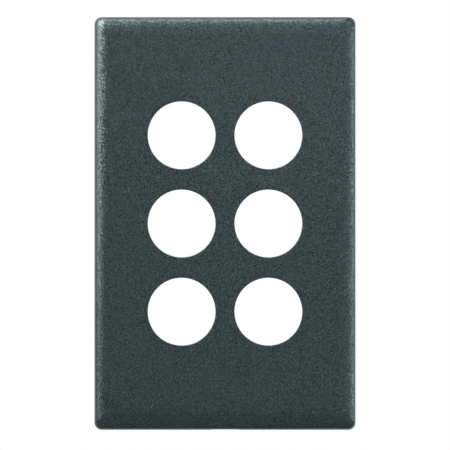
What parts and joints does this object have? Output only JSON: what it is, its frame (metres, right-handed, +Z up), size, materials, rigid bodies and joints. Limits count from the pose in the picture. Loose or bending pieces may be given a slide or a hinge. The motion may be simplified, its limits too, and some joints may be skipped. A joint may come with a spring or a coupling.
{
  "type": "switch cover plate",
  "caption": "Upright rectangular wall plate with softly rolled edges and round holes for switch mechanisms; clips on over a mounting frame.",
  "frame": {"origin": "centre of the back rim, on the plane of the wall", "axes": "+Z up and +X to the right seen from the front, +Y into the wall, face towards -Y"},
  "size_m": [0.074, 0.008, 0.117],
  "materials": {
    "flake_plastic": "fine moulded grain with metallic flake, dark blue-grey"
  },
  "bodies": {
    "root": {"cover_plate": "flake_plastic"}
  },
  "joints": []
}
